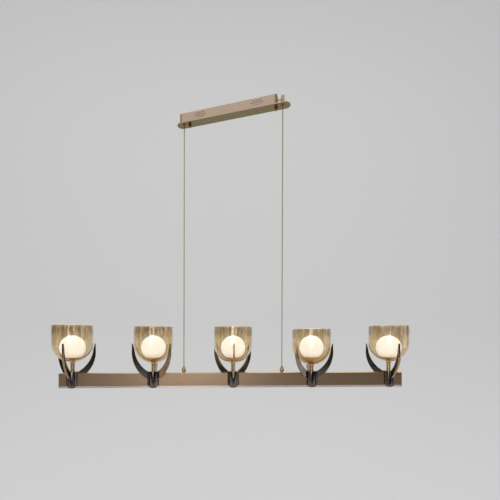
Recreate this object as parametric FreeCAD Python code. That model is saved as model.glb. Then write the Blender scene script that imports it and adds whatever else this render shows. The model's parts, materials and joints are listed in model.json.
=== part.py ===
import FreeCAD, Part
import math
import os

# A linear island pendant: a ceiling canopy, two suspension cables and a light bar
# that carries a row of glass cups, each with an opal globe inside.
# The origin is on the ceiling, midway between the two cable grippers. X runs along the
# light bar, Y points away from the viewer and Z points up. Lengths are in millimetres.

Vector = FreeCAD.Vector
UP = Vector(0, 0, 1)
ORIGIN = Vector(0, 0, 0)

# Overall layout
light_count = 5
light_spacing = 300.0
bar_overhang = 48.0
cable_drop = 938.0
bar_cable_spacing = 372.0
canopy_cable_spacing = 390.0
canopy_yaw = -19.0
bar_shift = 6.5

# Canopy
canopy_height = 36.0
plate_end_margin = 28.0
plate_depth = 38.0
plate_thickness = 3.0
housing_gap = 11.2
gripper_room = 2.2
housing_depth = 36.0
housing_wall = 1.5
housing_corner = 4.0
vent_length = 10.0
vent_height = 2.0
vent_pitch = 12.5
vent_row_pitch = 7.2
vent_rows = 3
vent_columns = 4
vent_left_inset = 84.0
vent_right_inset = 74.0

# Ceiling bracket and what hangs the cover on it
strap_end_gap = 0.3
strap_width = 24.0
strap_thickness = 2.0
bolt_circle = 70.0
bolt_hole_radius = 2.6
supply_hole_radius = 7.0
supply_hole_offset = 18.0
stud_inset = 6.0
stud_radius = 2.5
stud_reach = 9.0
cap_nut_radius = 6.0
cap_nut_height = 11.0
cap_nut_roof = 1.3
cap_nut_edge = 1.0
knurl_count = 18
knurl_radius = 0.6

# Cable grippers
barrel_radius = 7.3
barrel_roof = 5.0
barrel_ceiling_gap = 0.5
spigot_radius = 4.0
spigot_reach = 4.0
chamber_radius = 4.9
chamber_floor = 1.0
chamber_height = 5.5
web_thickness = 1.2
window_width = 5.0
window_height = 13.0
nozzle_radius = 3.25
nozzle_reach = 11.0
nozzle_rim_radius = 3.9
nozzle_rim_height = 2.5
nozzle_flange_radius = 4.6
nozzle_flange_height = 1.0
nozzle_collet_height = 1.5
mouth_depth = 3.5
mouth_flare = 0.7
gland_nut_flats = 11.0
gland_nut_height = 3.5
spring_wire_radius = 0.35
spring_wire_sides = 8
spring_radius = 4.1
spring_turns = 2.5

# Suspension cables and the leads that they become inside the canopy
cable_radius = 2.0
pivot_depth = 2.0
cable_seat_depth = 4.0
lead_bend_radius = 16.0
lead_side_offset = 10.0
lead_turn_distance = 35.0
lead_driver_run = 25.0
lead_hole_clearance = 0.8
lead_bend_share = 0.45

# Driver and terminal block
driver_length = 120.0
driver_width = 26.0
driver_height = 27.0
driver_edge = 2.0
terminal_length = 34.0
terminal_width = 26.0
terminal_height = 27.0
terminal_gap = 2.0
terminal_ways = 3
terminal_screw_radius = 2.2
terminal_screw_depth = 6.0

# Light bar
bar_height = 56.0
bar_thickness = 16.0
bar_wall = 1.6
bar_top_chamfer = 1.2
end_cap_thickness = 2.0
end_cap_plug = 8.0
trim_height = 7.5
trim_chamfer = 0.8
trim_groove_width = 8.0
trim_groove_depth = 3.0

# Cable fittings on the bar
fitting_height = 24.5
fitting_radius = 8.5
fitting_neck_radius = 5.1
fitting_neck_height = 3.0
fitting_belly_start = 6.0
fitting_belly_end = 10.0
fitting_top_radius = 3.5
fitting_bore_radius = 2.7
thread_radius = 5.0
thread_reach = 9.0
lock_nut_flats = 12.0
lock_nut_height = 5.0

# Saddle, the six-sided block that sits over the bar under each light
saddle_corner_radius = 26.0
saddle_rise = 6.5
saddle_edge_round = 3.0
saddle_top_chamfer = 0.8
saddle_bottom_chamfer = 10.0
tube_bore_radius = 3.6

# Stem and glass cup
stem_height = 30.0
stem_radius = 7.5
stem_collar_radius = 10.0
stem_collar_height = 3.5
gasket_thickness = 1.5
cup_radius = 72.3
cup_rim_radius = 71.3
cup_height = 137.0
cup_wall = 4.5
cup_rim_round = 1.6
low_cup_number = 4
low_cup_drop = 8.5
end_cup_rise = 4.5

# Lamp holder, globe and lamp
globe_radius = 45.3
globe_flat_below_centre = 36.5
globe_seat_above_saddle = 52.5
globe_wall = 2.5
globe_hole_radius = 16.0
holder_disc_radius = 27.5
holder_disc_thickness = 3.0
holder_neck_radius = 9.5
holder_collar_height = 6.0
holder_collar_wall = 2.0
holder_thread_length = 9.0
socket_radius = 10.0
socket_height = 26.0
pin_spacing = 9.0
pin_width = 3.0
pin_thickness = 0.9
pin_length = 6.0
bulb_radius = 7.0
bulb_height = 40.0
bulb_base_height = 9.0

# Claws, the flat curved blades around each cup. Each edge is one arc up to the
# shoulder. Heights are above the saddle's top, and reaches are from the light's axis.
claws_per_light = 3
claw_thickness = 6.0
claw_edge_chamfer = 0.5
claw_root_height = 30.0
claw_inner_bulge_reach = 48.5
claw_inner_bulge_height = 23.0
claw_outer_bulge_reach = 64.0
claw_outer_bulge_height = 10.0
claw_shoulder_height = 80.0
claw_shoulder_gap = 0.0
claw_shoulder_width = 9.3
claw_height = 104.0
claw_tip_gap = 5.5
claw_tip_radius = 1.6

# Wiring inside the bar
wire_radius = 0.9
wire_offset = 1.6
wire_depth = 24.0

# Clearances
fit_clearance = 0.1
running_clearance = 0.05
hole_clearance = 0.25
moving_gap = 0.3

# How closely an edge has to lie at a place to be found there
edge_match = 0.01

# Levels that follow from the sizes above
plate_bottom = -canopy_height
plate_top = plate_bottom + plate_thickness
nozzle_mouth = plate_bottom - nozzle_reach
pivot_z = nozzle_mouth + pivot_depth
fitting_top = nozzle_mouth - cable_drop
bar_top = fitting_top - fitting_height
bar_bottom = bar_top - bar_height
profile_bottom = bar_bottom + trim_height
bar_inner_top = bar_top - bar_wall
saddle_top = bar_top + saddle_rise
globe_seat = saddle_top + globe_seat_above_saddle
globe_centre = globe_seat + globe_flat_below_centre
bar_length = (light_count - 1) * light_spacing + 2 * bar_overhang
profile_length = bar_length - 2 * end_cap_thickness
saddle_flat = saddle_corner_radius * math.cos(math.radians(30))
gripper_station = canopy_cable_spacing / 2
plate_length = 2 * (gripper_station + plate_end_margin)
housing_left = -gripper_station - barrel_radius - gripper_room - housing_wall
housing_right = gripper_station - barrel_radius - housing_gap
housing_length = housing_right - housing_left
housing_middle = (housing_left + housing_right) / 2
stud_station = housing_right - stud_inset
strap_length = 2 * (housing_right - housing_wall - strap_end_gap)
driver_face = gripper_station - lead_turn_distance - lead_driver_run
terminal_start = supply_hole_offset + supply_hole_radius + terminal_gap
terminal_face = terminal_start + terminal_length
chamber_bottom = plate_top + chamber_floor
flange_bottom = chamber_bottom + moving_gap
chamber_top = chamber_bottom + chamber_height
web_top = chamber_top + web_thickness
lead_level = web_top + lead_bend_radius
lead_start = pivot_z + cable_radius + moving_gap
lead_heading = math.degrees(math.atan2(lead_side_offset, lead_turn_distance))
cable_bottom = fitting_top - cable_seat_depth


def block(length, width, low, high, x=0.0, y=0.0):
    """A box centred on x and y, between two levels."""
    corner = Vector(x - length / 2, y - width / 2, low)
    return Part.makeBox(length, width, high - low, corner)


def rod(radius, low, high, x=0.0, y=0.0):
    """A round bar between two levels."""
    return Part.makeCylinder(radius, high - low, Vector(x, y, low), UP)


def tube(outer, inner, low, high, x=0.0, y=0.0):
    """A round tube between two levels."""
    return rod(outer, low, high, x, y).cut(rod(inner, low, high, x, y))


def hexagon(corner_radius, low, high, x=0.0, y=0.0):
    """A six-sided bar with flats facing +Y and -Y and corners on the X axis."""
    corners = []
    for n in range(7):
        turn = math.radians(60 * n)
        corners.append(Vector(x + corner_radius * math.cos(turn), y + corner_radius * math.sin(turn), low))
    face = Part.Face(Part.makePolygon(corners))
    return face.extrude(Vector(0, 0, high - low))


def nut(flats, bore, low, high, x=0.0, y=0.0):
    """A hexagon nut given by its size across flats."""
    corner_radius = flats / 2 / math.cos(math.radians(30))
    return hexagon(corner_radius, low, high, x, y).cut(rod(bore, low, high, x, y))


def revolved(edges):
    """A closed outline in the XZ plane, turned once round the Z axis."""
    face = Part.Face(Part.Wire(Part.__sortEdges__(edges)))
    return face.revolve(ORIGIN, UP, 360)


def lines(points):
    """Straight edges through points given as (radius, level)."""
    vectors = [Vector(r, 0, z) for r, z in points]
    return [Part.LineSegment(a, b).toShape() for a, b in zip(vectors, vectors[1:])]


def arc(start, middle, end):
    """An arc in the XZ plane through three points given as (radius, level)."""
    trio = [Vector(r, 0, z) for r, z in (start, middle, end)]
    return Part.Arc(*trio).toShape()


def upright_edges(shape):
    """The edges of a shape that run straight up."""
    found = []
    for edge in shape.Edges:
        box = edge.BoundBox
        if box.XLength < edge_match and box.YLength < edge_match:
            found.append(edge)
    return found


def edges_at(shape, level):
    """The edges of a shape that lie at one level."""
    found = []
    for edge in shape.Edges:
        box = edge.BoundBox
        if box.ZLength < edge_match and abs(box.ZMin - level) < edge_match:
            found.append(edge)
    return found


def rotated(shape, degrees):
    """A copy turned about the vertical through the origin."""
    copy = shape.copy()
    copy.rotate(ORIGIN, UP, degrees)
    return copy


def moved(shape, x):
    """A copy moved along the X axis."""
    copy = shape.copy()
    copy.translate(Vector(x, 0, 0))
    return copy


def on_bar(shape):
    """A shape made about the bar's own middle, in its place under the canopy."""
    return moved(shape, bar_shift)


def in_canopy(shape):
    """Turns a shape made along the canopy into the canopy's true heading."""
    return rotated(shape, canopy_yaw)


def canopy_pair(shape):
    """A canopy end piece made at the right end, as the (left, right) pair."""
    return in_canopy(rotated(shape, 180)), in_canopy(shape)


def save(name, *shapes):
    """Writes one node, a single solid or a group of separate solids."""
    shape = shapes[0] if len(shapes) == 1 else Part.makeCompound(list(shapes))
    shape.exportStep("parts/" + name + ".step")
    for solid in shape.Solids:
        if not solid.isValid():
            print("not valid:", name)
    print(name, len(shape.Solids), round(shape.Volume))


def lead_direction():
    """The heading of a lead as it leaves the right gripper, seen from above."""
    return Vector(-lead_turn_distance, lead_side_offset, 0).normalize()


def canopy_plate():
    """The long cover plate with round ends, under the housing."""
    radius = plate_depth / 2
    straight = plate_length - plate_depth
    plate = block(straight, plate_depth, plate_bottom, plate_top)
    for side in (-1, 1):
        plate = plate.fuse(rod(radius, plate_bottom, plate_top, side * straight / 2))
    plate = plate.removeSplitter()
    for side in (-1, 1):
        stud_hole = rod(stud_radius + hole_clearance, plate_bottom, plate_top, side * stud_station)
        spigot_hole = rod(spigot_radius + fit_clearance, plate_bottom, plate_top, side * gripper_station)
        plate = plate.cut(stud_hole).cut(spigot_hole)
    return in_canopy(plate)


def vent(station, level):
    """One slot through both long walls of the housing, with round ends."""
    straight = vent_length - vent_height
    low = level - vent_height / 2
    slot = block(straight, 2 * housing_depth, low, low + vent_height, station)
    for side in (-1, 1):
        centre = Vector(station + side * straight / 2, -housing_depth, level)
        slot = slot.fuse(Part.makeCylinder(vent_height / 2, 2 * housing_depth, centre, Vector(0, 1, 0)))
    return slot


def vent_group(station):
    """Staggered rows of slots round one place on the housing, every second row a slot longer."""
    slots = []
    middle = plate_top / 2
    for row in range(vent_rows):
        level = middle + (row - (vent_rows - 1) / 2) * vent_row_pitch
        columns = vent_columns if row % 2 else vent_columns - 1
        for column in range(columns):
            along = (column - (columns - 1) / 2) * vent_pitch
            slots.append(vent(station + along, level))
    return slots


def canopy_housing():
    """The box above the plate, open to the ceiling, with vent slots and a hole for one lead.

    Its left end covers the left gripper, and the right gripper stands free beside it.
    """
    outer = block(housing_length, housing_depth, plate_top, 0, housing_middle)
    outer = outer.makeFillet(housing_corner, upright_edges(outer))
    inner_length = housing_length - 2 * housing_wall
    inner = block(inner_length, housing_depth - 2 * housing_wall, plate_top, 0, housing_middle)
    inner = inner.makeFillet(housing_corner - housing_wall, upright_edges(inner))
    housing = outer.cut(inner)
    for station in (housing_left + vent_left_inset, housing_right - vent_right_inset):
        for slot in vent_group(station):
            housing = housing.cut(slot)
    hole = Part.makeCylinder(
        cable_radius + lead_hole_clearance,
        2 * (gripper_station - housing_right),
        Vector(gripper_station, 0, lead_level),
        lead_direction(),
    )
    return in_canopy(housing.cut(hole))


def ceiling_bracket():
    """The steel strap against the ceiling, with the two studs riveted into it."""
    strap = block(strap_length, strap_width, -strap_thickness, 0)
    for side in (-1, 1):
        strap = strap.cut(rod(bolt_hole_radius, -strap_thickness, 0, side * bolt_circle / 2))
        stud = rod(stud_radius, plate_bottom - stud_reach, -strap_thickness / 2, side * stud_station)
        strap = strap.fuse(stud)
    strap = strap.cut(rod(supply_hole_radius, -strap_thickness, 0, supply_hole_offset))
    return in_canopy(strap)


def cap_nut():
    """The knurled nut that holds the cover on its stud."""
    high = plate_bottom - moving_gap
    low = high - cap_nut_height
    body = rod(cap_nut_radius, low, high, stud_station)
    body = body.makeChamfer(cap_nut_edge, edges_at(body, low))
    for n in range(knurl_count):
        turn = math.radians(360 * n / knurl_count)
        x = stud_station + cap_nut_radius * math.cos(turn)
        y = cap_nut_radius * math.sin(turn)
        body = body.cut(rod(knurl_radius, low + cap_nut_edge, high, x, y))
    return body.cut(rod(stud_radius + running_clearance, low + cap_nut_roof, high, stud_station))


def gripper_barrel():
    """The post on the plate that grips the cable, with its threaded spigot."""
    top = -barrel_ceiling_gap
    barrel = rod(barrel_radius, plate_top, top, gripper_station)
    barrel = barrel.fuse(rod(spigot_radius, plate_bottom - spigot_reach, plate_top, gripper_station))
    bore = rod(nozzle_radius + running_clearance, plate_bottom - spigot_reach, chamber_bottom, gripper_station)
    chamber = rod(chamber_radius, chamber_bottom, chamber_top, gripper_station)
    web_hole = rod(cable_radius + moving_gap, chamber_top, web_top, gripper_station)
    upper = rod(chamber_radius, web_top, top - barrel_roof, gripper_station)
    window_top = top - barrel_roof
    window = block(2 * barrel_radius, window_width, window_top - window_height, window_top, -barrel_radius)
    window = moved(rotated(window, -lead_heading), gripper_station)
    return barrel.cut(bore).cut(chamber).cut(web_hole).cut(upper).cut(window)


def gland_nut():
    """The thin nut that draws the barrel's spigot against the plate."""
    return nut(
        gland_nut_flats,
        spigot_radius + running_clearance,
        plate_bottom - gland_nut_height,
        plate_bottom,
        gripper_station,
    )


def release_nozzle():
    """The sprung nozzle that is pushed up to free the cable."""
    flange_high = flange_bottom + nozzle_flange_height
    top = flange_high + nozzle_collet_height
    body = rod(nozzle_radius, nozzle_mouth, top, gripper_station)
    body = body.fuse(rod(nozzle_rim_radius, nozzle_mouth, nozzle_mouth + nozzle_rim_height, gripper_station))
    body = body.fuse(rod(nozzle_flange_radius, flange_bottom, flange_high, gripper_station))
    bore = cable_radius + moving_gap
    mouth = Part.makeCone(bore + mouth_flare, bore, mouth_depth, Vector(gripper_station, 0, nozzle_mouth), UP)
    return body.cut(rod(bore, nozzle_mouth, top, gripper_station)).cut(mouth)


def gripper_spring():
    """The coil that pushes the nozzle down, between its flange and the barrel's web."""
    low = flange_bottom + nozzle_flange_height + running_clearance + spring_wire_radius
    high = chamber_top - spring_wire_radius
    pitch = (high - low) / spring_turns
    helix = Part.makeHelix(pitch, high - low, spring_radius)
    corners = []
    for n in range(spring_wire_sides + 1):
        turn = math.radians(360 * (n + 0.5) / spring_wire_sides)
        out = spring_radius + spring_wire_radius * math.cos(turn)
        corners.append(Vector(out, 0, spring_wire_radius * math.sin(turn)))
    coil = Part.Wire(helix).makePipeShell([Part.makePolygon(corners)], True, True)
    coil.translate(Vector(gripper_station, 0, low))
    return coil


def lead_path(end):
    """The line of a lead from the cable's pivot to a device that starts at a station."""
    heading = lead_direction()
    start = Vector(gripper_station, 0, lead_start)
    foot = Vector(gripper_station, 0, web_top)
    out = foot + heading * lead_bend_radius + UP * lead_bend_radius
    turn = math.radians(45)
    middle = foot + heading * (lead_bend_radius * (1 - math.cos(turn))) + UP * (lead_bend_radius * math.sin(turn))
    corner = Vector(gripper_station - lead_turn_distance, lead_side_offset, lead_level)
    finish = Vector(end, lead_side_offset, lead_level)
    inward = Vector(-1, 0, 0)
    half = heading.getAngle(inward) / 2
    run = min((corner - out).Length, (finish - corner).Length)
    radius = lead_bend_share * run / math.tan(half)
    reach = radius * math.tan(half)
    bend_in = corner - heading * reach
    bend_out = corner + inward * reach
    bisector = (inward - heading).normalize()
    bend_middle = corner + bisector * (radius / math.cos(half) - radius)
    print("lead bends", round(lead_bend_radius, 1), round(radius, 1))
    edges = [
        Part.LineSegment(start, foot).toShape(),
        Part.Arc(foot, middle, out).toShape(),
        Part.LineSegment(out, bend_in).toShape(),
        Part.Arc(bend_in, bend_middle, bend_out).toShape(),
        Part.LineSegment(bend_out, finish).toShape(),
    ]
    return Part.Wire(edges)


def lead(end):
    """A lead of the cable's thickness along its path."""
    path = lead_path(end)
    circle = Part.makeCircle(cable_radius, Vector(gripper_station, 0, lead_start), UP)
    solid = path.makePipeShell([Part.Wire(circle)], True, False)
    expected = path.Length * math.pi * cable_radius**2
    print("lead length", round(path.Length, 1), "volume share", round(solid.Volume / expected, 4))
    return solid


def led_driver():
    """The driver box that stands on the plate, left of the middle."""
    middle = driver_length / 2 - driver_face
    driver = block(driver_length, driver_width, plate_top, plate_top + driver_height, middle)
    driver = driver.makeFillet(driver_edge, upright_edges(driver))
    return in_canopy(driver)


def terminal_block():
    """The block where the supply wires are joined, with its clamp screw wells."""
    middle = terminal_start + terminal_length / 2
    top = plate_top + terminal_height
    body = block(terminal_length, terminal_width, plate_top, top, middle)
    pitch = terminal_width / terminal_ways
    for way in range(terminal_ways):
        y = (way - (terminal_ways - 1) / 2) * pitch
        for side in (-1, 1):
            x = middle + side * terminal_length / 4
            body = body.cut(rod(terminal_screw_radius, top - terminal_screw_depth, top, x, y))
    return in_canopy(body)


def suspension_cable(side):
    """One cable, pulled straight from its pivot in the canopy to the bar's fitting.

    Its end at the pivot is round, so that it can swing there.
    """
    turn = math.radians(canopy_yaw)
    x = side * gripper_station * math.cos(turn)
    y = side * gripper_station * math.sin(turn)
    top = Vector(x, y, pivot_z)
    bottom = Vector(bar_shift + side * bar_cable_spacing / 2, 0, cable_bottom)
    run = bottom - top
    print("cable length", round(run.Length, 1))
    straight = Part.makeCylinder(cable_radius, run.Length, top, run)
    return straight.fuse(Part.makeSphere(cable_radius, top)).removeSplitter()


def cup_drop(index):
    """How much lower one light's cup is set than the common level; the end cups stand higher."""
    if index + 1 == low_cup_number:
        return low_cup_drop
    if index in (0, light_count - 1):
        return -end_cup_rise
    return 0.0


def light_stations():
    """Where each light's axis stands along the bar."""
    return [(n - (light_count - 1) / 2) * light_spacing for n in range(light_count)]


def bar_profile():
    """The hollow flat bar, with holes in its top for the lights and the cable fittings."""
    outer = block(profile_length, bar_thickness, profile_bottom, bar_top)
    long_edges = [e for e in edges_at(outer, bar_top) if e.BoundBox.XLength > profile_length / 2]
    outer = outer.makeChamfer(bar_top_chamfer, long_edges)
    inner = block(profile_length, bar_thickness - 2 * bar_wall, profile_bottom + bar_wall, bar_inner_top)
    bar = outer.cut(inner)
    for x in light_stations() + [-bar_cable_spacing / 2, bar_cable_spacing / 2]:
        bar = bar.cut(rod(thread_radius + fit_clearance, bar_inner_top, bar_top, x))
    return bar


def end_cap(side):
    """The plate that closes one end of the bar, with a plug that fits inside it."""
    middle = side * (profile_length + end_cap_thickness) / 2
    plate = block(end_cap_thickness, bar_thickness, bar_bottom, bar_top, middle)
    top_edges = [e for e in edges_at(plate, bar_top) if e.BoundBox.XLength > end_cap_thickness / 2]
    plate = plate.makeChamfer(bar_top_chamfer, top_edges)
    plug_middle = side * (profile_length - end_cap_plug) / 2
    plug_width = bar_thickness - 2 * bar_wall - 2 * fit_clearance
    plug_low = profile_bottom + bar_wall + fit_clearance
    plug = block(end_cap_plug, plug_width, plug_low, bar_inner_top - fit_clearance, plug_middle)
    return plate.fuse(plug)


def bottom_trim():
    """The polished strip that runs along the foot of the bar."""
    strip = block(profile_length, bar_thickness, bar_bottom, profile_bottom)
    long_edges = [e for e in edges_at(strip, bar_bottom) if e.BoundBox.XLength > profile_length / 2]
    strip = strip.makeChamfer(trim_chamfer, long_edges)
    groove = block(profile_length, trim_groove_width, profile_bottom - trim_groove_depth, profile_bottom)
    return strip.cut(groove)


def cable_fitting():
    """The turned fitting on top of the bar that a cable ends in."""
    outline = [
        (0, bar_top - thread_reach),
        (thread_radius, bar_top - thread_reach),
        (thread_radius, bar_top),
        (fitting_neck_radius + fit_clearance, bar_top),
        (fitting_neck_radius + fit_clearance, bar_top + fitting_neck_height),
        (fitting_radius, bar_top + fitting_belly_start),
        (fitting_radius, bar_top + fitting_belly_end),
        (fitting_top_radius, fitting_top),
        (0, fitting_top),
        (0, bar_top - thread_reach),
    ]
    body = revolved(lines(outline))
    return body.cut(rod(fitting_bore_radius, bar_top - thread_reach, fitting_top))


def lock_nut():
    """The thin nut inside the bar that holds a tube or a fitting."""
    return nut(lock_nut_flats, thread_radius + running_clearance, bar_inner_top - lock_nut_height, bar_inner_top)


def cup_seat(drop):
    """The level of the lowest point of a cup that is set lower by drop."""
    return saddle_top + stem_height - drop


def bar_room():
    """The room that the bar needs under one light, with its fit clearance."""
    return block(3 * saddle_corner_radius, bar_thickness + 2 * fit_clearance, bar_bottom, bar_top)


def saddle():
    """The six-sided block over the bar, slotted from below to straddle it."""
    body = hexagon(saddle_corner_radius, bar_bottom, saddle_top)
    body = body.makeChamfer(saddle_top_chamfer, edges_at(body, saddle_top))
    body = body.makeChamfer(saddle_bottom_chamfer, edges_at(body, bar_bottom))
    body = body.makeFillet(saddle_edge_round, upright_edges(body))
    return body.cut(bar_room()).cut(rod(thread_radius + fit_clearance, bar_top, saddle_top))


def claw():
    """One blade, standing in the plane of +X and Z from the saddle's flat face."""
    root_top = (saddle_flat, 0.0)
    root_bottom = (saddle_flat, -claw_root_height)
    inner_bulge = (claw_inner_bulge_reach, claw_inner_bulge_height)
    outer_bulge = (claw_outer_bulge_reach, claw_outer_bulge_height)
    inner_shoulder = (cup_radius + claw_shoulder_gap, claw_shoulder_height)
    outer_shoulder = (inner_shoulder[0] + claw_shoulder_width, claw_shoulder_height)
    tip_reach = cup_radius + claw_tip_gap + claw_tip_radius
    tip_start = claw_height - claw_tip_radius
    inner_tip = (tip_reach - claw_tip_radius, tip_start)
    outer_tip = (tip_reach + claw_tip_radius, tip_start)
    edges = [
        arc(root_top, inner_bulge, inner_shoulder),
        *lines([inner_shoulder, inner_tip]),
        arc(inner_tip, (tip_reach, claw_height), outer_tip),
        *lines([outer_tip, outer_shoulder]),
        arc(outer_shoulder, outer_bulge, root_bottom),
        *lines([root_bottom, root_top]),
    ]
    face = Part.Face(Part.Wire(Part.__sortEdges__(edges)))
    face.translate(Vector(0, -claw_thickness / 2, saddle_top))
    blade = face.extrude(Vector(0, claw_thickness, 0))
    outline = []
    for edge in blade.Edges:
        box = edge.BoundBox
        if box.YLength < edge_match and box.XMax > saddle_flat + claw_edge_chamfer:
            outline.append(edge)
    return blade.makeChamfer(claw_edge_chamfer, outline)


def claw_set(index):
    """The blades of one light, evenly spaced and relieved where they stand beside the bar.

    Every second light is turned half round.
    """
    first = -90 if index % 2 == 0 else 90
    blade = claw()
    room = bar_room()
    step = 360 / claws_per_light
    return [rotated(blade, first + step * n).cut(room) for n in range(claws_per_light)]


def stem(drop):
    """The sleeve between the saddle and the cup, with its collar under the glass."""
    top = cup_seat(drop) - gasket_thickness
    sleeve = rod(stem_radius, saddle_top, top)
    sleeve = sleeve.fuse(rod(stem_collar_radius, top - stem_collar_height, top))
    under = edges_at(sleeve, top - stem_collar_height)
    outer_under = [e for e in under if e.BoundBox.XLength > stem_radius + stem_collar_radius]
    taper = stem_collar_radius - stem_radius - fit_clearance
    sleeve = sleeve.makeChamfer(taper, outer_under)
    return sleeve.cut(rod(thread_radius + fit_clearance, saddle_top, top))


def threaded_tube(drop):
    """The hollow threaded tube from inside the bar up to the lamp holder."""
    return tube(thread_radius, tube_bore_radius, bar_top - thread_reach, holder_bottom(drop) + holder_thread_length)


def cup(drop):
    """The glass cup, a half ball below and a slightly narrowing wall above."""
    seat = cup_seat(drop)
    centre = seat + cup_radius
    rim = seat + cup_height
    inner = cup_radius - cup_wall
    inner_rim = cup_rim_radius - cup_wall
    slant = math.sqrt(0.5)
    edges = [
        arc((0, seat), (cup_radius * slant, centre - cup_radius * slant), (cup_radius, centre)),
        *lines([(cup_radius, centre), (cup_rim_radius, rim), (inner_rim, rim), (inner, centre)]),
        arc((inner, centre), (inner * slant, centre - inner * slant), (0, seat + cup_wall)),
        *lines([(0, seat + cup_wall), (0, seat)]),
    ]
    glass = revolved(edges)
    glass = glass.makeFillet(cup_rim_round, edges_at(glass, rim))
    return glass.cut(rod(thread_radius + hole_clearance, seat - cup_wall, seat + 2 * cup_wall))


def gaskets(drop):
    """The two soft rings that hold the cup's glass, one below it and one inside it."""
    seat = cup_seat(drop)
    centre = Vector(0, 0, seat + cup_radius)
    bore = thread_radius + fit_clearance
    below = tube(stem_collar_radius, bore, seat - gasket_thickness, seat + cup_wall)
    below = below.cut(Part.makeSphere(cup_radius, centre))
    inside_top = seat + cup_wall + gasket_thickness
    inside = tube(holder_neck_radius, bore, seat, inside_top)
    inside = inside.common(Part.makeSphere(cup_radius - cup_wall, centre))
    return [below, inside]


def holder_bottom(drop):
    """The level where a lamp holder's neck stands on the gasket inside the cup."""
    return cup_seat(drop) + cup_wall + gasket_thickness


def lamp_holder(drop):
    """The neck, disc and threaded collar that carry the socket and the globe."""
    low = holder_bottom(drop)
    disc_low = globe_seat - holder_disc_thickness
    body = rod(holder_neck_radius, low, disc_low)
    body = body.fuse(rod(holder_disc_radius, disc_low, globe_seat))
    collar_radius = globe_hole_radius - fit_clearance
    collar_top = globe_seat + holder_collar_height
    body = body.fuse(rod(collar_radius, globe_seat, collar_top))
    body = body.cut(rod(collar_radius - holder_collar_wall, globe_seat, collar_top))
    body = body.cut(rod(thread_radius + running_clearance, low, low + holder_thread_length))
    return body.cut(rod(tube_bore_radius, low, globe_seat))


def lamp_socket():
    """The ceramic socket inside the globe, with two contact slots."""
    top = globe_seat + socket_height
    body = rod(socket_radius, globe_seat, top)
    for side in (-1, 1):
        x = side * pin_spacing / 2
        width = pin_width + 2 * hole_clearance
        thickness = pin_thickness + 2 * hole_clearance
        body = body.cut(block(thickness, width, top - pin_length - hole_clearance, top, x))
    return body


def bulb():
    """The capsule lamp that stands in the socket."""
    base = globe_seat + socket_height
    top = base + bulb_height
    shoulder = top - bulb_radius
    slant = math.sqrt(0.5)
    edges = [
        *lines([(0, base), (bulb_radius, base), (bulb_radius, base + bulb_base_height), (bulb_radius, shoulder)]),
        arc((bulb_radius, shoulder), (bulb_radius * slant, shoulder + bulb_radius * slant), (0, top)),
        *lines([(0, top), (0, base)]),
    ]
    body = revolved(edges)
    for side in (-1, 1):
        body = body.fuse(block(pin_thickness, pin_width, base - pin_length, base, side * pin_spacing / 2))
    return body


def globe():
    """The opal globe with its flat base and round opening."""
    outer = Part.makeSphere(globe_radius, Vector(0, 0, globe_centre))
    inner = Part.makeSphere(globe_radius - globe_wall, Vector(0, 0, globe_centre))
    above_base = block(3 * globe_radius, 3 * globe_radius, globe_seat, globe_seat + 3 * globe_radius)
    above_floor = block(
        3 * globe_radius, 3 * globe_radius, globe_seat + globe_wall, globe_seat + 3 * globe_radius
    )
    shell = outer.common(above_base).cut(inner.common(above_floor))
    return shell.cut(rod(globe_hole_radius, globe_seat, globe_seat + globe_wall))


def wire(side):
    """One insulated wire along the bar, with its branches to the lights and fittings."""
    y = side * wire_offset
    level = bar_top - wire_depth
    stations = light_stations()
    reach = stations[-1] - stations[0]
    run = Part.makeCylinder(wire_radius, reach, Vector(stations[0], y, level), Vector(1, 0, 0))
    for x in stations:
        run = run.fuse(rod(wire_radius, level, globe_seat, x, y))
    for x in (-bar_cable_spacing / 2, bar_cable_spacing / 2):
        run = run.fuse(rod(wire_radius, level, cable_bottom - moving_gap, x, y))
    return run


def build_canopy():
    save("canopy_plate", canopy_plate())
    save("canopy_housing", canopy_housing())
    save("ceiling_bracket", ceiling_bracket())
    save("led_driver", led_driver())
    save("terminal_block", terminal_block())
    pairs = {
        "cap_nut": cap_nut(),
        "gripper_barrel": gripper_barrel(),
        "release_nozzle": release_nozzle(),
        "gripper_spring": gripper_spring(),
    }
    for name, shape in pairs.items():
        left, right = canopy_pair(shape)
        save(name + "_left", left)
        save(name + "_right", right)
    save("gland_nuts", *canopy_pair(gland_nut()))
    left_lead = in_canopy(rotated(lead(driver_face), 180))
    right_lead = in_canopy(lead(terminal_face))
    save("canopy_leads", left_lead, right_lead)


def build_bar():
    save("cable_left", suspension_cable(-1))
    save("cable_right", suspension_cable(1))
    save("bar_profile", on_bar(bar_profile()))
    save("bottom_trim", on_bar(bottom_trim()))
    save("end_cap_left", on_bar(end_cap(-1)))
    save("end_cap_right", on_bar(end_cap(1)))
    save("cable_fitting_left", on_bar(moved(cable_fitting(), -bar_cable_spacing / 2)))
    save("cable_fitting_right", on_bar(moved(cable_fitting(), bar_cable_spacing / 2)))
    nut_places = light_stations() + [-bar_cable_spacing / 2, bar_cable_spacing / 2]
    save("lock_nuts", *[on_bar(moved(lock_nut(), x)) for x in nut_places])
    save("bar_wiring", on_bar(wire(-1)), on_bar(wire(1)))


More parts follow.
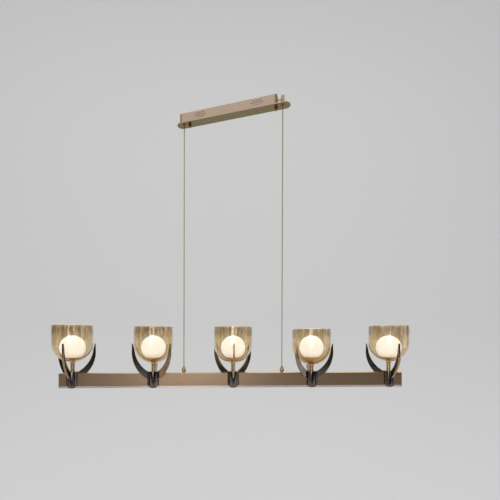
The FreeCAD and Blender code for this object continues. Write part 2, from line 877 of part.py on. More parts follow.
def build_lights():
    tubes, rings, sockets, bulbs = [], [], [], []
    for index, station in enumerate(light_stations()):
        x = bar_shift + station
        drop = cup_drop(index)
        number = str(index + 1)
        save("saddle_" + number, moved(saddle(), x))
        save("claws_" + number, *[moved(blade, x) for blade in claw_set(index)])
        save("stem_" + number, moved(stem(drop), x))
        save("cup_" + number, moved(cup(drop), x))
        save("lamp_holder_" + number, moved(lamp_holder(drop), x))
        save("globe_" + number, moved(globe(), x))
        tubes.append(moved(threaded_tube(drop), x))
        rings.extend(moved(ring, x) for ring in gaskets(drop))
        sockets.append(moved(lamp_socket(), x))
        bulbs.append(moved(bulb(), x))
    save("threaded_tubes", *tubes)
    save("cup_gaskets", *rings)
    save("lamp_sockets", *sockets)
    save("bulbs", *bulbs)


os.makedirs("parts", exist_ok=True)
build_canopy()
build_bar()
build_lights()
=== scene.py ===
import bpy
import json
import math
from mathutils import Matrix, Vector


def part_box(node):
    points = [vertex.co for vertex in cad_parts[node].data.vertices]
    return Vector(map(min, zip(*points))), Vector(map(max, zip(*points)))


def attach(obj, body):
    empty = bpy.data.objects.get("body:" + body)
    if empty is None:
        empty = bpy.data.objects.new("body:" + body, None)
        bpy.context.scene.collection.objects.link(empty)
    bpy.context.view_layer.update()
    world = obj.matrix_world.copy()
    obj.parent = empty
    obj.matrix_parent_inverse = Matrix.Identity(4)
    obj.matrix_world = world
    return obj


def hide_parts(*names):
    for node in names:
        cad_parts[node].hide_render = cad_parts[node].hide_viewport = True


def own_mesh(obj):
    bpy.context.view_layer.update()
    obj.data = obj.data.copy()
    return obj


# The looks of a linear island pendant: amber glass cups with lit opal globes on a
# brushed bronze bar, hung on two cables from a narrow ceiling canopy. Metres.

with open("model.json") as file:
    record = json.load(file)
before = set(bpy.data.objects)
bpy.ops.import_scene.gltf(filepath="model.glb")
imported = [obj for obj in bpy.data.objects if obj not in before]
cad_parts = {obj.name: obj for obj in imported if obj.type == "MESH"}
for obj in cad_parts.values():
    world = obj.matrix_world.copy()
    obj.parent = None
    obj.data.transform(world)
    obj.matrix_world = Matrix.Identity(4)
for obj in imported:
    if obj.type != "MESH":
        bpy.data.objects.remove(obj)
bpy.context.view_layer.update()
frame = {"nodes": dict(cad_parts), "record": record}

# The camera was fitted to the photograph: its place, heading, lens and frame shift.
camera_place = (-0.04654, -1.29024, -0.886)
camera_heading = math.radians(-2.0)
camera_sensor = 36.0
camera_lens = 24.48
camera_shift = (0.038, 0.18)

# The lights stand along the bar, numbered from the left. The bar's middle stands a
# little to the right of the canopy's.
light_count = 5
light_spacing = 0.3
bar_shift = 0.0065

# Suspension cables, from the pivot in the canopy to the fitting on the bar
cable_routes = {
    "left": [
        (-0.184376, 0.063486, -0.045),
        (-0.184252, 0.061875, -0.068946),
        (-0.179624, 0.00161, -0.965054),
        (-0.1795, 0.0, -0.989),
    ],
    "right": [
        (0.184376, -0.063486, -0.045),
        (0.184582, -0.061875, -0.068945),
        (0.192294, -0.00161, -0.965055),
        (0.1925, 0.0, -0.989),
    ],
}
cable_diameter = 0.004
cable_resolution = 300
cable_sides = 20
cable_strands = 10
cable_lay_length = 0.016
cable_weave_depth = 0.05

# Coil springs of the cable grippers
spring_radius = 0.0041
spring_wire_radius = 0.00035
spring_turns = 2.5
spring_steps = 80
spring_sides = 8

# Glass cups
cup_height = 0.137
cup_wall = 0.0045
cup_rim_inset = 0.001
cup_rim_round = 0.0018
cup_hole_radius = 0.00525
cup_segments = 240
cup_bowl_steps = 34
cup_wall_steps = 24
cup_rim_steps = 8

# Upright ripples in a cup's wall. They fade in above a calm foot and out below the rim,
# and they wander sideways with height, each cup's in its own way.
cup_ripple = 0.0003
calm_foot_height = 0.095
calm_foot_fade = 0.02
calm_rim_fade = 0.008
ripple_wander = 0.35
ripple_wander_by_height = 31
ripple_wander_by_cup = 2.0
# (crests round the cup, turn from cup to cup, share of the wander, height) of each wave
ripple_waves = [(13, 1.7, 1.0, 1.0), (23, 0.6, -2.3, 0.8), (37, 3.1, 1.6, 0.6)]

# Canopy: its heading, the plate's upper side, and the inside of the box on it
canopy_heading = math.radians(-19.0)
canopy_plate_top = -0.033
housing_middle = -0.01475
housing_half_inside = 0.1905
housing_half_depth_inside = 0.0172
# Span at each end of the box over which its face darkens into painted shade
housing_end_shade_span = (housing_half_inside - 0.011, housing_half_inside - 0.002)
level_match = 0.0001

# How upward a surface's normal has to point for a bevel or a glass rim, how downward
# for the canopy's underside, and how level for a saddle's sides
bevel_normal = 0.3
rim_normal = 0.35
underside_normal = -0.5
upright_normal = 0.2

# Noise of each surface: its stretch along each axis, its scale and its detail
bar_brush = ((1, 0.05, 0.03), 1600.0, 3.0)
canopy_brush = ((0.03, 1, 1), 1500.0, 3.0)
blade_wear = ((1, 1, 1), 45.0, 4.0)
saddle_wear = ((1, 1, 1), 70.0, 4.0)
metal_wear = ((1, 1, 1), 60.0, 5.0)
moulded_grain = ((1, 1, 1), 700.0, 3.0)
glass_streaks = ((1, 1, 0.14), 110.0, 3.0)
glass_dents = ((1, 1, 0.4), 120.0, 2.0)
opal_cloud = ((1, 1, 1), 30.0, 3.0)
cable_weave = ((1, 1, 0.4), 1800.0, 2.0)

# Relief of each surface: its depth and its strength
brush_relief = (0.00001, 0.3)
moulded_relief = (0.00005, 0.15)
weave_relief = (0.0001, 0.4)
glass_dent_depth = 0.0006

# Bronze of the bar and of the canopy; pairs of colours are (dark, light)
bar_face = ((0.39, 0.27, 0.17), (0.44, 0.305, 0.2))
# Painted highlight: gold on the bar's bevel where it faces up
bar_bevel_highlight = (0.58, 0.42, 0.21)
bar_roughness = (0.35, 0.41)
canopy_face = ((0.66, 0.49, 0.37), (0.74, 0.56, 0.44))
canopy_face_margin = 0.25
# Painted shade at the box's ends
canopy_end_shade = (0.36, 0.20, 0.09)
# Painted shade on the canopy's underside
canopy_underside_shade = (0.29, 0.235, 0.13)
# Painted shade inside the box
canopy_inside_shade = (0.05, 0.045, 0.04)
canopy_roughness = (0.36, 0.46)

# Black nickel. A blade's normal has to point this far sideways for its flat sides.
blade_flat = ((0.17, 0.145, 0.13), (0.25, 0.215, 0.195))
blade_edge = ((0.42, 0.28, 0.14), (0.66, 0.47, 0.25))
blade_edge_light_from = 0.4
blade_flat_from = 0.85
blade_roughness = (0.10, 0.20)
saddle_side = ((0.11, 0.095, 0.088), (0.16, 0.14, 0.13))
# Painted highlight: gold on the saddle's bevel where it faces up
saddle_bevel_highlight = (0.62, 0.45, 0.25)
saddle_roughness = (0.05, 0.10)
# How far the saddle's sides are crowned: 0 for flat sides, 1 for a round block
saddle_crown = 0.8

# Other metals: wear's margin in their colour, and its share of their roughness
metal_margin = 0.35
metal_roughness_share = (0.7, 1.3)

# Amber glass: tints of its foot, of the band round the globe and of its upper part, and
# the levels between which one passes into the next
glass_foot = (0.66, 0.45, 0.19)
glass_band = (0.88, 0.77, 0.57)
glass_upper = [(0.36, (0.46, 0.34, 0.215)), (0.5, (0.68, 0.545, 0.37)), (0.64, (0.97, 0.89, 0.77))]
glass_foot_to_band = (-0.965, -0.935)
glass_band_to_upper = (-0.89, -0.845)
glass_edge = (0.86, 0.60, 0.22)
glass_edge_blend = 0.5
glass_edge_facing = (0.35, 0.9)
glass_coat = 0.5
glass_ior = 1.52
glass_roughness = 0.008
glass_dent_levels = (-0.875, -0.86)
glass_rim_level = -0.85
# Painted glow on the cup's rim, standing in for the globe's light carried up through the glass
glass_rim_painted_glow = (1.0, 0.72, 0.36)
glass_rim_painted_glow_strength = 0.3
glass_shadow = (0.88, 0.78, 0.60)
no_glow = (0.0, 0.0, 0.0)

# Opal glass. Its glow is cool because it is seen through amber glass.
opal_body = ((0.84, 0.82, 0.77), (0.90, 0.88, 0.84))
opal_glow = [(0.0, (0.68, 0.79, 1.0)), (0.5, (0.69, 0.83, 1.10)), (1.0, (0.63, 0.76, 0.98))]
opal_glow_levels = (-0.948, -0.868)
opal_glow_rise = 0.8
opal_glow_unevenness = (-0.15, 0.25)
opal_glow_strength = 0.94
opal_roughness = 0.6

# Woven cover of the cables
weave_colours = ((0.42, 0.34, 0.20), (0.64, 0.55, 0.37))
weave_roughness = 0.55
weave_metallic = 0.3

# Backdrop: a floor that bends up into a wall, with its own share of a pale glow
sweep_half_width = 9.0
sweep_floor = -2.2
sweep_front = -3.4
sweep_back = 3.2
sweep_radius = 1.6
sweep_top = 4.0
sweep_steps = 16
sweep_colour = (0.78, 0.78, 0.78)
sweep_roughness = 0.9
sweep_glow_share = 0.7
pale_view = (0.60, 0.60, 0.60)

# Grey tones of the world's light, from the horizon and below (0) to straight above (1)
world_tones = [(0.0, 0.03), (0.36, 0.07), (0.52, 0.75), (1.0, 1.1)]

# Sockets of a Mix node for each kind of value: the factor, both values and the result
mix_sockets = {"RGBA": (0, 6, 7, 2), "VECTOR": (0, 4, 5, 1)}


def new_material(name):
    """A node material; returns it with its node tree and its shader."""
    material = bpy.data.materials.new(name)
    material.use_nodes = True
    tree = material.node_tree
    return material, tree, tree.nodes["Principled BSDF"]


def socket(tree, place, value):
    """Gives an input socket a constant, or links it to another node's output."""
    if isinstance(value, bpy.types.NodeSocket):
        tree.links.new(value, place)
    elif isinstance(value, tuple) and len(place.default_value) > len(value):
        place.default_value = (*value, 1)
    else:
        place.default_value = value


def arithmetic(tree, operation, *values):
    """One Math node."""
    node = tree.nodes.new("ShaderNodeMath")
    node.operation = operation
    for place, value in zip(node.inputs, values):
        socket(tree, place, value)
    return node.outputs["Value"]


def product(tree, value, *others):
    """Values multiplied together."""
    for other in others:
        value = arithmetic(tree, "MULTIPLY", value, other)
    return value


def mixed(tree, factor, a, b, kind="RGBA"):
    """A blend of two colours, or of two vectors."""
    factor_socket, a_socket, b_socket, result = mix_sockets[kind]
    node = tree.nodes.new("ShaderNodeMix")
    node.data_type = kind
    socket(tree, node.inputs[factor_socket], factor)
    socket(tree, node.inputs[a_socket], a)
    socket(tree, node.inputs[b_socket], b)
    return node.outputs[result]


def scaled(tree, vector, scale):
    """A vector stretched by a scale along each axis."""
    node = tree.nodes.new("ShaderNodeVectorMath")
    node.operation = "MULTIPLY"
    socket(tree, node.inputs[0], vector)
    node.inputs[1].default_value = scale
    return node.outputs["Vector"]


def unit(tree, vector):
    """A vector brought to length one."""
    node = tree.nodes.new("ShaderNodeVectorMath")
    node.operation = "NORMALIZE"
    socket(tree, node.inputs[0], vector)
    return node.outputs["Vector"]


def parts_of(tree, vector):
    """The X, Y and Z of a vector."""
    node = tree.nodes.new("ShaderNodeSeparateXYZ")
    socket(tree, node.inputs[0], vector)
    return node.outputs


def place_on_object(tree):
    """The place on the object."""
    return tree.nodes.new("ShaderNodeTexCoord").outputs["Object"]


def place_on_canopy(tree):
    """The place on the canopy, with its first axis along the canopy."""
    turn = tree.nodes.new("ShaderNodeVectorRotate")
    turn.rotation_type = "Z_AXIS"
    socket(tree, turn.inputs["Vector"], place_on_object(tree))
    turn.inputs["Angle"].default_value = -canopy_heading
    return turn.outputs["Vector"]


def place_on_light(tree):
    """How far a place is from the axis of the light it belongs to: across, and in depth."""
    here = parts_of(tree, place_on_object(tree))
    row_start = light_count / 2 * light_spacing - bar_shift
    along = arithmetic(tree, "MODULO", arithmetic(tree, "ADD", here["X"], row_start), light_spacing)
    return arithmetic(tree, "SUBTRACT", along, light_spacing / 2), here["Y"]


def surface_normal(tree):
    """Which way the surface faces."""
    return tree.nodes.new("ShaderNodeNewGeometry").outputs["Normal"]


def faces_up(tree, limit):
    """1 where the surface's normal points further up than a limit, and 0 elsewhere."""
    return arithmetic(tree, "GREATER_THAN", parts_of(tree, surface_normal(tree))["Z"], limit)


def noise(tree, vector, kind):
    """A noise texture's value, 0 to 1, of a kind given as (stretch, scale, detail)."""
    stretch, scale, detail = kind
    node = tree.nodes.new("ShaderNodeTexNoise")
    socket(tree, node.inputs["Vector"], scaled(tree, vector, stretch))
    node.inputs["Scale"].default_value = scale
    node.inputs["Detail"].default_value = detail
    return node.outputs["Fac"]


def ramp(tree, factor, stops):
    """A colour ramp; stops are (position, colour)."""
    node = tree.nodes.new("ShaderNodeValToRGB")
    elements = node.color_ramp.elements
    while len(elements) < len(stops):
        elements.new(0.5)
    for element, (place, colour) in zip(elements, stops):
        element.position = place
        element.color = (*colour, 1)
    socket(tree, node.inputs["Fac"], factor)
    return node.outputs["Color"]


def varied(tree, factor, colours, margin=0.3):
    """A colour that varies from dark to light over the middle of a factor's range."""
    dark, light = colours
    return ramp(tree, factor, [(margin, dark), (1 - margin, light)])


def spread(tree, factor, low, high, start=0.0, end=1.0):
    """Maps a factor between start and end to a value between low and high."""
    node = tree.nodes.new("ShaderNodeMapRange")
    socket(tree, node.inputs["Value"], factor)
    node.inputs["From Min"].default_value = start
    node.inputs["From Max"].default_value = end
    node.inputs["To Min"].default_value = low
    node.inputs["To Max"].default_value = high
    return node.outputs["Result"]


def passage(tree, value, ends):
    """0 before the first of two ends, 1 after the second, and even between them."""
    return spread(tree, value, 0.0, 1.0, *ends)


def relief(tree, shader, height, distance, strength):
    """Gives a shader fine relief from a height."""
    node = tree.nodes.new("ShaderNodeBump")
    node.inputs["Distance"].default_value = distance
    socket(tree, node.inputs["Strength"], strength)
    socket(tree, node.inputs["Height"], height)
    socket(tree, shader.inputs["Normal"], node.outputs["Normal"])


def any_ray(tree, *kinds):
    """1 for rays of the kinds named, and 0 for all others."""
    path = tree.nodes.new("ShaderNodeLightPath").outputs
    found = path[kinds[0]]
    for kind in kinds[1:]:
        found = arithmetic(tree, "MAXIMUM", found, path[kind])
    return found


def show_blend(tree, factor, first, second):
    """Makes a blend of two shaders the material's surface."""
    blend = tree.nodes.new("ShaderNodeMixShader")
    socket(tree, blend.inputs["Fac"], factor)
    tree.links.new(first, blend.inputs[1])
    tree.links.new(second, blend.inputs[2])
    tree.links.new(blend.outputs["Shader"], tree.nodes["Material Output"].inputs["Surface"])


def metal(tree, shader, colour, roughness):
    """Sets a shader up as metal."""
    shader.inputs["Metallic"].default_value = 1.0
    socket(tree, shader.inputs["Base Color"], colour)
    socket(tree, shader.inputs["Roughness"], roughness)


def champagne_bronze():
    """The bar's bronze, its faces finely brushed upright, with a painted highlight in gold on its
    top bevel.
    """
    material, tree, shader = new_material("champagne_bronze")
    lines = noise(tree, place_on_object(tree), bar_brush)
    # Painted highlight: gold where the bevel faces up
    colour = mixed(tree, faces_up(tree, bevel_normal), varied(tree, lines, bar_face), bar_bevel_highlight)
    metal(tree, shader, colour, spread(tree, lines, *bar_roughness))
    relief(tree, shader, lines, *brush_relief)
    return material


def canopy_bronze():
    """The canopy's paler bronze, brushed along it, with painted shade below, inside the box and at
    the box's ends.
    """
    material, tree, shader = new_material("canopy_bronze")
    place = place_on_canopy(tree)
    lines = noise(tree, place, canopy_brush)
    here = parts_of(tree, place)
    above_plate = arithmetic(tree, "GREATER_THAN", here["Z"], canopy_plate_top - level_match)
    along = arithmetic(tree, "ABSOLUTE", arithmetic(tree, "SUBTRACT", here["X"], housing_middle))
    aside = arithmetic(tree, "ABSOLUTE", here["Y"])
    within_ends = arithmetic(tree, "LESS_THAN", along, housing_half_inside)
    within_sides = arithmetic(tree, "LESS_THAN", aside, housing_half_depth_inside)
    facing_rise = parts_of(tree, surface_normal(tree))["Z"]
    # Painted shade on faces that point down
    under = arithmetic(tree, "LESS_THAN", facing_rise, underside_normal)
    # Painted shade towards the box's ends
    end_shade = product(tree, passage(tree, along, housing_end_shade_span), above_plate)
    # Painted shade inside the box
    inside = product(tree, within_ends, within_sides, above_plate)
    colour = mixed(tree, end_shade, varied(tree, lines, canopy_face, canopy_face_margin), canopy_end_shade)
    colour = mixed(tree, under, colour, canopy_underside_shade)
    colour = mixed(tree, inside, colour, canopy_inside_shade)
    metal(tree, shader, colour, spread(tree, lines, *canopy_roughness))
    relief(tree, shader, lines, *brush_relief)
    return material


def black_nickel_blade():
    """Glossy black nickel on a blade's flat sides, bronze along its edges."""
    material, tree, shader = new_material("black_nickel_blade")
    wear = noise(tree, place_on_object(tree), blade_wear)
    across, depth = place_on_light(tree)
    facing = parts_of(tree, surface_normal(tree))
    turned = arithmetic(
        tree,
        "SUBTRACT",
        product(tree, facing["Y"], across),
        product(tree, facing["X"], depth),
    )
    squares = arithmetic(
        tree, "ADD", product(tree, across, across), product(tree, depth, depth)
    )
    reach = arithmetic(tree, "SQRT", squares)
    sideways = arithmetic(tree, "ABSOLUTE", arithmetic(tree, "DIVIDE", turned, reach))
    dark, light = blade_edge
    edge = ramp(tree, sideways, [(0.0, dark), (blade_edge_light_from, light)])
    is_edge = arithmetic(tree, "LESS_THAN", sideways, blade_flat_from)
    colour = mixed(tree, is_edge, varied(tree, wear, blade_flat), edge)
    metal(tree, shader, colour, spread(tree, wear, *blade_roughness))
    return material


def black_nickel_block():
    """The saddle's dark nickel, its sides softly crowned, with a painted highlight in gold on the
    bevel round its top.
    """
    material, tree, shader = new_material("black_nickel_block")
    wear = noise(tree, place_on_object(tree), saddle_wear)
    up = faces_up(tree, bevel_normal)
    # Painted highlight: gold where the bevel faces up
    colour = mixed(tree, up, varied(tree, wear, saddle_side), saddle_bevel_highlight)
    metal(tree, shader, colour, spread(tree, wear, *saddle_roughness))
    across, depth = place_on_light(tree)
    outward = tree.nodes.new("ShaderNodeCombineXYZ")
    socket(tree, outward.inputs["X"], across)
    socket(tree, outward.inputs["Y"], depth)
    normal = surface_normal(tree)
    tilt = arithmetic(tree, "ABSOLUTE", parts_of(tree, normal)["Z"])
    upright = arithmetic(tree, "LESS_THAN", tilt, upright_normal)
    crowning = product(tree, upright, saddle_crown)
    crowned = mixed(tree, crowning, normal, unit(tree, outward.outputs["Vector"]), "VECTOR")
    socket(tree, shader.inputs["Normal"], unit(tree, crowned))
    return material


def plain_metal(name, dark, light, roughness):
    """Polished or satin metal with faint wear in its colour and gloss."""
    material, tree, shader = new_material(name)
    wear = noise(tree, place_on_object(tree), metal_wear)
    low, high = (roughness * share for share in metal_roughness_share)
    colour = varied(tree, wear, (dark, light), metal_margin)
    metal(tree, shader, colour, spread(tree, wear, low, high))
    return material


def plastic(name, dark, light, roughness):
    """Moulded plastic, ceramic or rubber with a fine grain."""
    material, tree, shader = new_material(name)
    grain = noise(tree, place_on_object(tree), moulded_grain)
    socket(tree, shader.inputs["Base Color"], varied(tree, grain, (dark, light)))
    shader.inputs["Roughness"].default_value = roughness
    relief(tree, shader, grain, *moulded_relief)
    return material


def amber_glass():
    """Clear amber glass, deeper at its foot and edges, with dents and streaks near its rim.

    The rim has a faint painted glow that stands in for the globe's light coming through the glass,
    and the glass casts only a pale shadow.
    """
    material, tree, shader = new_material("amber_glass")
    place = place_on_object(tree)
    level = parts_of(tree, place)["Z"]
    foot_and_band = mixed(tree, passage(tree, level, glass_foot_to_band), glass_foot, glass_band)
    upper = ramp(tree, noise(tree, place, glass_streaks), glass_upper)
    tint = mixed(tree, passage(tree, level, glass_band_to_upper), foot_and_band, upper)
    weight = tree.nodes.new("ShaderNodeLayerWeight")
    weight.inputs["Blend"].default_value = glass_edge_blend
    edge = passage(tree, weight.outputs["Facing"], glass_edge_facing)
    socket(tree, shader.inputs["Base Color"], mixed(tree, edge, tint, glass_edge))
    shader.inputs["Coat Weight"].default_value = glass_coat
    shader.inputs["Transmission Weight"].default_value = 1.0
    shader.inputs["IOR"].default_value = glass_ior
    shader.inputs["Roughness"].default_value = glass_roughness
    dents = noise(tree, place, glass_dents)
    relief(tree, shader, dents, glass_dent_depth, passage(tree, level, glass_dent_levels))
    # Painted glow on the rim
    near_rim = arithmetic(tree, "GREATER_THAN", level, glass_rim_level)
    rim = product(tree, faces_up(tree, rim_normal), near_rim)
    socket(tree, shader.inputs["Emission Color"], mixed(tree, rim, no_glow, glass_rim_painted_glow))
    shader.inputs["Emission Strength"].default_value = glass_rim_painted_glow_strength
    lets_light_by = tree.nodes.new("ShaderNodeBsdfTransparent")
    socket(tree, lets_light_by.inputs["Color"], glass_shadow)
    in_shadow = any_ray(tree, "Is Shadow Ray")
    show_blend(tree, in_shadow, shader.outputs["BSDF"], lets_light_by.outputs["BSDF"])
    return material


def opal_glass():
    """Lit opal glass, brightest at mid height and a little clouded."""
    material, tree, shader = new_material("opal_glass")
    place = place_on_object(tree)
    cloud = noise(tree, place, opal_cloud)
    rise = spread(tree, parts_of(tree, place)["Z"], 0.0, opal_glow_rise, *opal_glow_levels)
    glow = arithmetic(tree, "ADD", rise, spread(tree, cloud, *opal_glow_unevenness))
    socket(tree, shader.inputs["Base Color"], varied(tree, cloud, opal_body))
    socket(tree, shader.inputs["Emission Color"], ramp(tree, glow, opal_glow))
    shader.inputs["Emission Strength"].default_value = opal_glow_strength
    shader.inputs["Roughness"].default_value = opal_roughness
    return material


def cable_cover():
    """The fine woven cover of the cable."""
    material, tree, shader = new_material("cable_braid")
    weave = noise(tree, place_on_object(tree), cable_weave)
    socket(tree, shader.inputs["Base Color"], varied(tree, weave, weave_colours))
    shader.inputs["Roughness"].default_value = weave_roughness
    shader.inputs["Metallic"].default_value = weave_metallic
    relief(tree, shader, weave, *weave_relief)
    return material


# Finishes that differ only in (dark colour, light colour, roughness)
plain_metals = {
    "polished_trim": ((0.72, 0.63, 0.60), (0.79, 0.69, 0.66), 0.16),
    "satin_brass": ((0.48, 0.35, 0.19), (0.60, 0.45, 0.26), 0.26),
    "dark_bronze": ((0.26, 0.14, 0.055), (0.38, 0.21, 0.09), 0.3),
    "steel": ((0.5, 0.5, 0.5), (0.6, 0.6, 0.6), 0.3),
}
plastics = {
    "driver_plastic": ((0.05, 0.05, 0.055), (0.07, 0.07, 0.075), 0.5),
    "ceramic": ((0.86, 0.85, 0.80), (0.92, 0.91, 0.87), 0.5),
    "silicone": ((0.70, 0.70, 0.68), (0.78, 0.78, 0.76), 0.45),
    "bulb_glass": ((0.9, 0.9, 0.88), (0.95, 0.95, 0.93), 0.1),
    "wire_insulation": ((0.76, 0.72, 0.62), (0.84, 0.80, 0.70), 0.45),
}

# Finishes by material slot. The blades share the saddles' slot but have their own finish.
finishes = {
    "champagne_bronze": champagne_bronze(),
    "canopy_bronze": canopy_bronze(),
    "black_nickel": black_nickel_block(),
    "amber_glass": amber_glass(),
    "opal_glass": opal_glass(),
    "cable_braid": cable_cover(),
}
for name, look in plain_metals.items():
    finishes[name] = plain_metal(name, *look)
for name, look in plastics.items():
    finishes[name] = plastic(name, *look)
blade_finish = black_nickel_blade()


def dress_nodes():
    """Gives every CAD node the finish of its material slot."""
    for row in frame["record"]["subparts"]:
        node = frame["nodes"][row["node"]]
        is_blade = row["node"].startswith("claws")
        node.data.materials.clear()
        node.data.materials.append(blade_finish if is_blade else finishes[row["material_slot"]])


def smooth_object(name, points, faces, material):
    """A smooth mesh object with one material, in the scene."""
    mesh = bpy.data.meshes.new(name)
    mesh.from_pydata(points, [], faces)
    mesh.validate()
    mesh.update()
    mesh.polygons.foreach_set("use_smooth", [True] * len(mesh.polygons))
    mesh.materials.append(material)
    made = bpy.data.objects.new(name, mesh)
    bpy.context.scene.collection.objects.link(made)
    return made


def make_piece(name, points, faces, finish, body, node):
    """A piece with one finish that rides on a body and stands for a CAD node."""
    piece = smooth_object(name, points, faces, finishes[finish])
    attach(piece, body)
    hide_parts(node)
    return piece


def ring_faces(rows, sides, closed=False):
    """Faces between rows of points, each row a ring of sides.

    Closed joins the last row to the first; otherwise a face caps each end.
    """
    faces = []
    for row in range(rows if closed else rows - 1):
        low = row * sides
        high = (row + 1) % rows * sides
        for k in range(sides):
            after = (k + 1) % sides
            faces.append((low + k, low + after, high + after, high + k))
    if not closed:
        last = (rows - 1) * sides
        faces.append(tuple(reversed(range(sides))))
        faces.append(tuple(last + k for k in range(sides)))
    return faces


def turns(count):
    """The angles of a ring's points."""
    return [2 * math.pi * k / count for k in range(count)]


def cup_outline(radius, seat, rim):
    """The closed section of a cup's wall as (radius, level), outside first."""
    inner = radius - cup_wall
    middle = seat + radius
    rim_radius = radius - cup_rim_inset
    shoulder = rim - cup_rim_round

    def bowl(r):
        """The round bottom from its hole up to the straight wall."""
        start = math.asin(cup_hole_radius / r)
        section = []
        for k in range(cup_bowl_steps + 1):
            angle = start + (math.pi / 2 - start) * k / cup_bowl_steps
            section.append((r * math.sin(angle), middle - r * math.cos(angle)))
        return section

    def wall(r):
        """The straight wall between the bowl and the rim."""
        shares = [k / cup_wall_steps for k in range(1, cup_wall_steps)]
        lean = rim_radius - radius
        return [(r + lean * share, middle + (shoulder - middle) * share) for share in shares]

    rounding = []
    for k in range(cup_rim_steps + 1):
        angle = math.pi * k / cup_rim_steps
        across = cup_wall / 2 * (math.cos(angle) - 1)
        rounding.append((rim_radius + across, shoulder + cup_rim_round * math.sin(angle)))
    return bowl(radius) + wall(radius) + rounding + wall(inner)[::-1] + bowl(inner)[::-1]


def clamped(value):
    """A value kept between 0 and 1."""
    return max(0.0, min(1.0, value))


def cup_swell(number, angle, rise, drop):
    """How far a cup's wall stands out at an angle.

    rise is the height above the foot, and drop the depth below the rim.
    """
    calm = clamped((rise - calm_foot_height) / calm_foot_fade) * clamped(drop / calm_rim_fade)
    turn = ripple_wander_by_height * rise + ripple_wander_by_cup * number
    wander = ripple_wander * math.sin(turn)
    wave = sum(
        height * math.sin(crests * angle + start * number + share * wander)
        for crests, start, share, height in ripple_waves
    )
    return cup_ripple * calm * wave


def glass_cup(number):
    """One rippled glass cup in place of the plain solid."""
    low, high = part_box(f"cup_{number}")
    centre = (low + high) / 2
    radius = (high.x - low.x) / 2
    rim = high.z
    seat = rim - cup_height
    outline = cup_outline(radius, seat, rim)
    points = []
    for r, level in outline:
        for angle in turns(cup_segments):
            out = r + cup_swell(number, angle, level - seat, rim - level)
            place = (centre.x + out * math.cos(angle), centre.y + out * math.sin(angle), level)
            points.append(place)
    faces = ring_faces(len(outline), cup_segments, closed=True)
    make_piece(f"glass_cup_{number}", points, faces, "amber_glass", "light_bar", f"cup_{number}")


def spline_points(route):
    """Points along the smooth NURBS spline that a route's points control."""
    curve = bpy.data.curves.new("route", "CURVE")
    curve.dimensions = "3D"
    curve.resolution_u = cable_resolution
    spline = curve.splines.new("NURBS")
    spline.points.add(len(route) - 1)
    for point, place in zip(spline.points, route):
        point.co = (*place, 1)
    spline.order_u = 3
    spline.use_endpoint_u = True
    holder = bpy.data.objects.new("route", curve)
    mesh = bpy.data.meshes.new_from_object(holder)
    line = [vertex.co.copy() for vertex in mesh.vertices]
    bpy.data.objects.remove(holder)
    return line


def suspension_cable(side):
    """One straight woven cable from its pivot in the canopy to the fitting on the bar."""
    line = spline_points(cable_routes[side])
    top, bottom = line[0], line[-1]
    run = bottom - top
    axis = run.normalized()
    across = axis.cross(Vector((0, 1, 0))).normalized()
    beside = axis.cross(across)
    half_strands = cable_strands / 2
    points = []
    for place in line:
        twist = 2 * math.pi * (place - top).length / cable_lay_length
        for angle in turns(cable_sides):
            one_way = math.cos(half_strands * (angle - twist))
            other_way = math.cos(half_strands * (angle + twist))
            swell = 1 - cable_weave_depth + cable_weave_depth * (one_way * other_way)
            r = cable_diameter / 2 * swell
            points.append(place + across * (r * math.cos(angle)) + beside * (r * math.sin(angle)))
    faces = ring_faces(len(line), cable_sides)
    name = f"woven_cable_{side}"
    piece = make_piece(name, points, faces, "cable_braid", "suspension", f"cable_{side}")
    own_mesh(piece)


def gripper_spring(side):
    """The coil spring that holds a gripper's nozzle down, made at one fixed length; the real spring
    squashes as the nozzle goes up.
    """
    node = f"gripper_spring_{side}"
    low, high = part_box(node)
    centre = (low + high) / 2
    height = high.z - low.z
    climb = height - 2 * spring_wire_radius
    points = []
    for step in range(spring_steps + 1):
        share = step / spring_steps
        turn = 2 * math.pi * spring_turns * share
        level = low.z + spring_wire_radius + climb * share
        for angle in turns(spring_sides):
            out = spring_radius + spring_wire_radius * math.cos(angle)
            x = centre.x + out * math.cos(turn)
            y = centre.y + out * math.sin(turn)
            points.append((x, y, level - spring_wire_radius * math.sin(angle)))
    faces = ring_faces(spring_steps + 1, spring_sides)
    piece = make_piece(f"coil_spring_{side}", points, faces, "steel", "canopy", node)
    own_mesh(piece)


def pale_backdrop():
    """The backdrop's material, with a share of glow for whatever sees it."""
    material, tree, shader = new_material("studio_sweep")
    socket(tree, shader.inputs["Base Color"], sweep_colour)
    shader.inputs["Roughness"].default_value = sweep_roughness
    in_view = any_ray(tree, "Is Camera Ray", "Is Glossy Ray", "Is Transmission Ray")
    glow = tree.nodes.new("ShaderNodeEmission")
    socket(tree, glow.inputs["Color"], pale_view)
    share = product(tree, in_view, sweep_glow_share)
    show_blend(tree, share, shader.outputs["BSDF"], glow.outputs["Emission"])
    return material


def studio_sweep():
    """A pale floor that sweeps up into a backdrop."""
    bend_start = sweep_back - sweep_radius
    outline = [(sweep_front, sweep_floor), (bend_start, sweep_floor)]
    for k in range(1, sweep_steps + 1):
        angle = math.pi / 2 * k / sweep_steps
        depth = bend_start + sweep_radius * math.sin(angle)
        outline.append((depth, sweep_floor + sweep_radius - sweep_radius * math.cos(angle)))
    outline.append((sweep_back, sweep_top))
    points = [(x, y, z) for y, z in outline for x in (-sweep_half_width, sweep_half_width)]
    faces = [(2 * k, 2 * k + 1, 2 * k + 3, 2 * k + 2) for k in range(len(outline) - 1)]
    smooth_object("studio_sweep", points, faces, pale_backdrop())


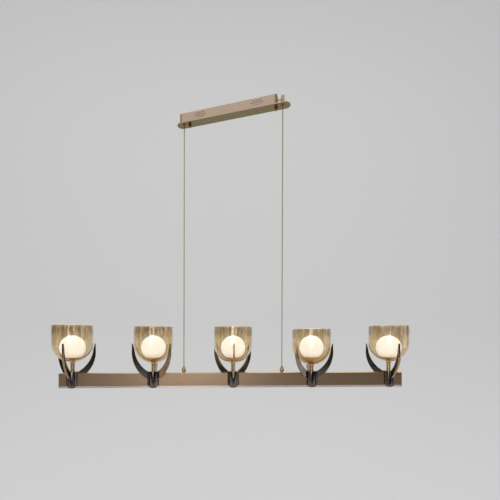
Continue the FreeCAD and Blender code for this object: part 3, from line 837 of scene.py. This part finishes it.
def studio_world():
    """Light from above that falls off towards the horizon. The view itself is an even grey."""
    world = bpy.data.worlds.new("studio")
    bpy.context.scene.world = world
    world.use_nodes = True
    tree = world.node_tree
    direction = tree.nodes.new("ShaderNodeTexCoord").outputs["Generated"]
    stops = [(height, (tone, tone, tone)) for height, tone in world_tones]
    light = ramp(tree, parts_of(tree, direction)["Z"], stops)
    in_view = any_ray(tree, "Is Camera Ray", "Is Transmission Ray")
    background = tree.nodes["Background"]
    socket(tree, background.inputs["Color"], mixed(tree, in_view, light, pale_view))
    background.inputs["Strength"].default_value = 1.0


def lamp(name, place, target, size, radiance, colour=(1.0, 1.0, 1.0)):
    """A soft rectangular lamp that faces a target; size is (across, upright)."""
    data = bpy.data.lights.new(name, "AREA")
    data.color = colour
    data.shape = "RECTANGLE"
    data.size, data.size_y = size
    data.energy = radiance * math.pi * size[0] * size[1]
    lamp_object = bpy.data.objects.new(name, data)
    lamp_object.location = place
    facing = Vector(target) - Vector(place)
    lamp_object.rotation_euler = facing.to_track_quat("-Z", "Y").to_euler()
    lamp_object.visible_camera = False
    bpy.context.scene.collection.objects.link(lamp_object)


def studio_lamps():
    """Soft lamps: in front, a low strip in front, one at each side, one for the backdrop."""
    lamp("front", (-0.40, -2.95, -0.76), (-0.2, 0.0, -1.03), size=(1.0, 1.1), radiance=3.0)
    lamp("low", (0.1, -3.0, -1.51), (0.0, 0.0, -1.06), size=(6.5, 0.14), radiance=1.1)
    lamp(
        "left",
        (-2.0, -0.75, -0.75),
        (-0.3, 0.0, -0.95),
        size=(0.5, 1.5),
        radiance=0.8,
        colour=(1.0, 0.76, 0.5),
    )
    lamp("right", (2.05, -0.35, -0.75), (0.3, 0.0, -0.95), size=(0.9, 1.5), radiance=0.9)
    lamp("back", (0.0, 0.2, 2.6), (0.0, 3.2, -0.4), size=(7.0, 1.5), radiance=2.0)


def camera():
    """The photograph's viewpoint."""
    data = bpy.data.cameras.new("camera")
    data.sensor_width = camera_sensor
    data.lens = camera_lens
    data.shift_x, data.shift_y = camera_shift
    viewer = bpy.data.objects.new("camera", data)
    viewer.location = camera_place
    viewer.rotation_euler = (math.pi / 2, 0, camera_heading)
    bpy.context.scene.collection.objects.link(viewer)
    bpy.context.scene.camera = viewer


camera()
for side in cable_routes:
    suspension_cable(side)
dress_nodes()
for number in range(1, light_count + 1):
    glass_cup(number)
for side in cable_routes:
    gripper_spring(side)
studio_sweep()
studio_world()
studio_lamps()
bpy.context.scene.view_settings.view_transform = "Standard"
